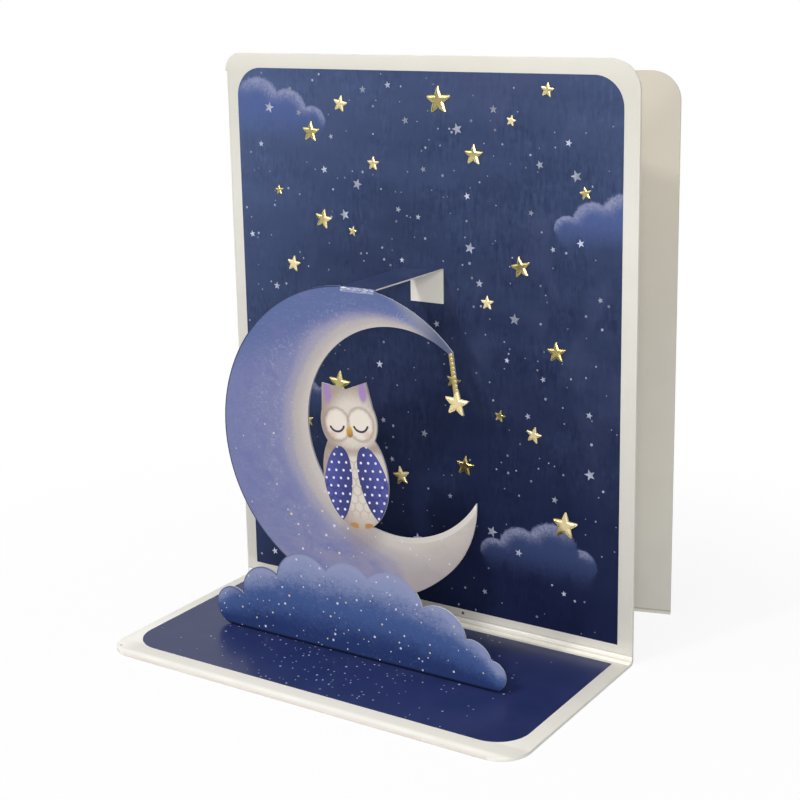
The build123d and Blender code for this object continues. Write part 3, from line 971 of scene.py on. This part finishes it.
class CARD_OT_foil(bpy.types.Operator):
    """Stamp the gold stars and bead the hanging string"""

    bl_idname = "card.foil"
    bl_label = "Gold foil"

    def execute(self, context):
        settings = context.scene.card_foil
        gold = foil_finish(settings, "gold_foil", 1.0)
        # The hanging star's foil is nearly all pale painted highlight
        bright = foil_finish(settings, "bright_foil", 0.1)
        string = foil_finish(settings, "string_foil", 0.55)
        paint(gold, "hanging_foil")

        tree = star_pattern()
        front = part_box("hanging_foil")[0].y
        printed = star_places("gold_stars")
        largest = max(size for _, size, _ in printed)
        middle = Vector((HANGING_STAR[0] * MM, front, HANGING_STAR[1] * MM))
        hanging = [(middle, HANGING_STAR_RADIUS * MM, radians(HANGING_STAR_TURN))]
        for name, stars, material, nodes in (
            ("foil_stars", printed, gold, ["gold_stars"]),
            ("hanging_star", hanging, bright, []),
        ):
            places, sizes, turns = zip(*stars)
            piece = new_points(name, places, size=sizes, turn=turns)
            run_pattern(piece, tree, settings, largest=largest, material=material)
            settle(piece, "gold_foil", *nodes)

        ends = [(x * MM, front, z * MM) for x, z in (STRING_TOP, STRING_FOOT)]
        beads = new_points("string_beads", ends, edges=[(0, 1)])
        sizes = {"radius": settings.bead, "spacing": 2.0 * settings.bead, "thickness": 0.5 * settings.bead}
        run_pattern(beads, bead_pattern(), settings, material=string, **sizes)
        settle(beads, "gold_foil")
        return {"FINISHED"}


# Sprinkled dots


class CardSprinkleSettings(bpy.types.PropertyGroup):
    white: colour_setting("White dot", "Colour of the palest dots", 198, 205, 228)
    glitter: colour_setting("Glitter", "Colour of the golden dots", 222, 206, 146)
    smallest: length_setting("Smallest", "Radius of the smallest dots", 0.16)
    height: length_setting("Height", "How far dots stand up", 0.03)
    spacing: length_setting("Spacing", "Least distance between two dots", 1.1)
    margin: length_setting("Margin", "Bare strip along the edges of a print", 0.6)
    seed: IntProperty(name="Seed", description="Start of the scatter", default=11)


# Where dots lie: piece, printed node, the way it faces, dots on a square centimetre, radius of the largest,
# the place that they gather round, and how far from it the last of them lie, in millimetres. The sky's
# dots are everywhere.
SPRINKLES = [
    ("sky_dust", "sky_print", (0, -1, 0), 2.2, 0.42, (0, 30, 140), 1000),
    ("base_dust", "ground_print", (0, 0, 1), 14.0, 0.33, (-4, -4, 0), 60),
    ("cloud_dust", "cloud_print", (0, -1, 0), 8.0, 0.38, (0, 0, 0), 90),
    ("moon_dust", "moon_print", (0, -1, 0), 4.0, 0.45, (5, 0, 0), 85),
]
# Starts of the draws that thin the dots out and that shade them
THIN_SEED = 3
SHADE_SEED = 5


def sprinkle_pattern():
    """Small raised dots, scattered over the faces that look one way."""
    lengths = ["spacing", "smallest", "largest", "height", "margin", "near", "far"]
    pattern = Pattern("sprinkled_dots", Vector=["facing", "focus"], Float=["density", *lengths], Int=["seed"])
    given = pattern.given
    inputs = {"Geometry": given["Geometry"], "Distance": 0.001 * MM}
    joined = pattern.node("GeometryNodeMergeByDistance", inputs=inputs)
    normal = pattern.node("GeometryNodeInputNormal")
    facing = pattern.vector("DOT_PRODUCT", normal, given["facing"], output="Value")
    field = pattern.part(joined, "FACE", facing.over(0.9))
    border = pattern.part(field, "EDGE", pattern.node("GeometryNodeInputMeshEdgeNeighbors").under(1.5))
    inputs = {"Distance Min": given["spacing"], "Density Max": given["density"], "Seed": given["seed"]}
    method = {"distribute_method": "POISSON"}
    scatter = pattern.node("GeometryNodeDistributePointsOnFaces", method, {"Mesh": field, **inputs})
    inputs = {"Geometry": border}
    gap = pattern.node("GeometryNodeProximity", {"target_element": "EDGES"}, inputs, output="Distance")
    here = pattern.node("GeometryNodeInputPosition")
    away = pattern.vector("DISTANCE", here, given["focus"], output="Value")
    spare = pattern.chance(THIN_SEED).over(away.rise(given["far"], given["near"]))
    inputs = {"Geometry": scatter, "Selection": spare.most(gap.under(given["margin"]))}
    points = pattern.node("GeometryNodeDeleteGeometry", {"domain": "POINT"}, inputs)
    inputs = {"Vertices": 8, "Radius Top": 0.65, "Radius Bottom": 1.0, "Depth": 1.0}
    dot = pattern.node("GeometryNodeMeshCone", inputs=inputs)
    radius = given["smallest"] + (given["largest"] - given["smallest"]) * pattern.chance(given["seed"]) ** 2
    scale = pattern.node("ShaderNodeCombineXYZ", inputs={0: radius, 1: radius, 2: given["height"]})
    inputs = {"Points": points, "Instance": dot, "Rotation": scatter.other("Rotation"), "Scale": scale}
    dots = pattern.node("GeometryNodeInstanceOnPoints", inputs=inputs)
    settings = {"data_type": "FLOAT", "domain": "INSTANCE"}
    inputs = {"Geometry": dots, "Name": "shade", "Value": pattern.chance(SHADE_SEED)}
    return pattern.close(pattern.node("GeometryNodeStoreNamedAttribute", settings, inputs))


def dot_finish(name, pale, deep, start):
    """Dots whose colour runs between two, by each dot's own shade, from start on."""
    ink = Finish(name, pale)
    shade = ink.node("ShaderNodeAttribute", {"attribute_name": "shade"}, output="Fac")
    ink.lay(deep, shade.rise(start, 0.95) + ink.noise(0.2) * 0.3)
    return ink.surface(0.4)


def star_ink_finish(white):
    """Pale printed stars, some of them dimmer."""
    ink = Finish("white_star_ink", scaled(white, 0.42))
    ink.lay(white, ink.noise(7.0, detail=1).rise(-0.15, 0.15) + ink.grain(0.5) * 0.15)
    return ink.surface(0.5)


class CARD_OT_sprinkle(bpy.types.Operator):
    """Sprinkle small dots over the prints"""

    bl_idname = "card.sprinkle"
    bl_label = "Dots"

    def execute(self, context):
        settings = context.scene.card_sprinkle
        white = settings.white
        dim = scaled(white, 0.3)
        star_dust = dot_finish("star_dust", scaled(white, 0.6), dim, 0.2)
        frost = dot_finish("frost_dust", scaled(white, 0.6, 0.68, 0.85), dim, 0.1)
        glitter = dot_finish("glitter_dust", white, settings.glitter, 0.6)
        paint(star_ink_finish(white), "white_stars")
        tree = sprinkle_pattern()
        for number, (row, material) in enumerate(zip(SPRINKLES, (star_dust, frost, glitter, glitter))):
            name, node, facing, count, largest, focus, reach = row
            dots = new_object(name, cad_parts[node].data.copy())
            run_pattern(
                dots,
                tree,
                settings,
                facing=facing,
                density=count / (10 * MM) ** 2,
                largest=largest * MM,
                focus=Vector(focus) * MM,
                near=0.05 * reach * MM,
                far=reach * MM,
                seed=settings.seed + number,
                material=material,
            )
            settle(dots, "white_ink")
        return {"FINISHED"}


# Studio


class CardStudioSettings(bpy.types.PropertyGroup):
    camera_place: FloatVectorProperty(
        name="Camera",
        description="Where the camera stands",
        subtype="XYZ",
        unit="LENGTH",
        default=(0.2225, -0.3184, 0.1768),
    )
    yaw: number_setting("Yaw", "Turn of the camera to the left", radians(33.2), subtype="ANGLE")
    pitch: number_setting("Pitch", "Tilt of the camera down", radians(13.0), subtype="ANGLE")
    roll: number_setting("Roll", "Turn about the view", radians(-1.1), subtype="ANGLE")
    lens: number_setting("Lens", "Focal length in millimetres", 71.0)
    shift: number_setting("Shift", "Upward shift of the frame", -0.08)
    ambient: number_setting("Ambient", "Brightness of the room", 0.32)
    key: number_setting("Key", "Power of the small key lamp in watts", 5.2)
    fill: number_setting("Fill", "Power of the soft box at the right in watts", 21.5)
    overhead: number_setting("Overhead", "Power of the soft box above in watts", 24.0)
    floor: colour_setting("Floor", "Colour of the table", 246, 246, 246)
    bounce: colour_setting("Bounce", "Colour of the table in the light that it throws back", 186, 186, 186)


# Lamps: the setting of each one's power, its place, the point it looks at and its size, in metres
LAMPS = [
    ("key", (-0.3, -0.87, 1.0), (0, 0, 0.06), 0.1),
    ("fill", (1.3, -2.1, 0.78), (0, 0, 0.07), 0.8),
    ("overhead", (-0.3, -0.8, 2.2), (0, 0, 0), 1.6),
]


def light_path(graph, output):
    return graph.node("ShaderNodeLightPath", output=output)


def add_world(ambient):
    """A white room that is bright overhead and duller near the horizon in reflections."""
    world = bpy.data.worlds.new("white_room")
    bpy.context.scene.world = world
    world.use_nodes = True
    room = Graph(world.node_tree)
    _, _, up = room.split(room.node("ShaderNodeTexCoord", output="Generated"))
    seen = light_path(room, "Is Camera Ray").most(light_path(room, "Is Transmission Ray"))
    glossy = light_path(room, "Is Glossy Ray")
    mirrored = 0.25 + 0.75 * up.rise(0.05, 0.6)
    strength = ambient + (mirrored - ambient) * glossy
    strength = strength + (1.0 - strength) * seen
    light = room.node("ShaderNodeBackground", inputs={"Color": (1, 1, 1), "Strength": strength})
    room.node("ShaderNodeOutputWorld", inputs={"Surface": light})


def add_floor(settings):
    """A wide white table that shows the card's soft shadow, and is seen plain white further away."""
    mesh = bpy.data.meshes.new("floor")
    reach = 3.0
    corners = [(x * reach, y * reach, 0) for x, y in ((-1, -1), (1, -1), (1, 1), (-1, 1))]
    mesh.from_pydata(corners, [], [(0, 1, 2, 3)])
    table = Finish("white_table", settings.floor)
    table.lay(tone(240, 240, 240), 0.5 + table.noise(1.5))
    colour = table.mix(settings.bounce, table.colour, light_path(table, "Is Camera Ray"))
    plain = table.node("ShaderNodeBsdfDiffuse", inputs={"Color": colour})
    white = table.node("ShaderNodeEmission", inputs={"Color": (1, 1, 1), "Strength": 1.0})
    blank = 0.88 + 0.12 * distance(table.x, table.y).rise(100, 220)
    share = light_path(table, "Is Camera Ray") * blank
    both = table.node("ShaderNodeMixShader", inputs={0: share, 1: plain, 2: white})
    table.node("ShaderNodeOutputMaterial", inputs={"Surface": both})
    floor = new_object("floor", mesh)
    mesh.materials.append(table.material)


def add_lamp(name, place, target, size, power):
    """A square soft box that looks at a point."""
    lamp = bpy.data.lights.new(name, "AREA")
    lamp.shape = "SQUARE"
    lamp.size = size
    lamp.energy = power
    light = new_object(name, lamp)
    light.location = place
    light.rotation_euler = (Vector(target) - Vector(place)).to_track_quat("-Z", "Y").to_euler()


def add_camera(settings):
    """The photograph's viewpoint."""
    lens = bpy.data.cameras.new("camera")
    lens.lens = settings.lens
    lens.shift_y = settings.shift
    lens.clip_start = 0.01
    camera = new_object("camera", lens)
    turn = Matrix.Rotation(settings.yaw, 4, "Z")
    tilt = Matrix.Rotation(radians(90) - settings.pitch, 4, "X")
    roll = Matrix.Rotation(settings.roll, 4, "Z")
    camera.matrix_world = Matrix.Translation(settings.camera_place) @ turn @ tilt @ roll
    bpy.context.scene.camera = camera


class CARD_OT_studio(bpy.types.Operator):
    """Set the table, the room, the lamps and the camera"""

    bl_idname = "card.studio"
    bl_label = "Studio"

    def execute(self, context):
        settings = context.scene.card_studio
        context.scene.view_settings.view_transform = "Standard"
        add_world(settings.ambient)
        add_floor(settings)
        for name, place, target, size in LAMPS:
            add_lamp(name, place, target, size, getattr(settings, name))
        add_camera(settings)
        return {"FINISHED"}


# Panel and registration


class CARD_PT_panel(bpy.types.Panel):
    """Steps that dress the card, each with its settings"""

    bl_idname = "CARD_PT_panel"
    bl_label = "Pop-up card"
    bl_space_type = "VIEW_3D"
    bl_region_type = "UI"
    bl_category = "Card"

    def draw(self, context):
        for operator, _ in STEPS:
            self.layout.operator(operator.bl_idname)
            group = getattr(context.scene, settings_name(operator))
            for name in group.bl_rna.properties.keys():
                if name not in ("rna_type", "name"):
                    self.layout.prop(group, name)


STEPS = [
    (CARD_OT_board, CardBoardSettings),
    (CARD_OT_print, CardPrintSettings),
    (CARD_OT_layer, CardLayerSettings),
    (CARD_OT_owl, CardOwlSettings),
    (CARD_OT_foil, CardFoilSettings),
    (CARD_OT_sprinkle, CardSprinkleSettings),
    (CARD_OT_studio, CardStudioSettings),
]


def settings_name(operator):
    """The scene's property with an operator's settings, such as card_board for card.board."""
    return operator.bl_idname.replace(".", "_")


def register():
    for operator, group in STEPS:
        bpy.utils.register_class(group)
        bpy.utils.register_class(operator)
        setattr(bpy.types.Scene, settings_name(operator), PointerProperty(type=group))
    bpy.utils.register_class(CARD_PT_panel)


def unregister():
    bpy.utils.unregister_class(CARD_PT_panel)
    for operator, group in reversed(STEPS):
        delattr(bpy.types.Scene, settings_name(operator))
        bpy.utils.unregister_class(operator)
        bpy.utils.unregister_class(group)


def main():
    register()
    for operator, _ in STEPS:
        group, name = operator.bl_idname.split(".")
        getattr(getattr(bpy.ops, group), name)()


if __name__ == "__main__":
    main()
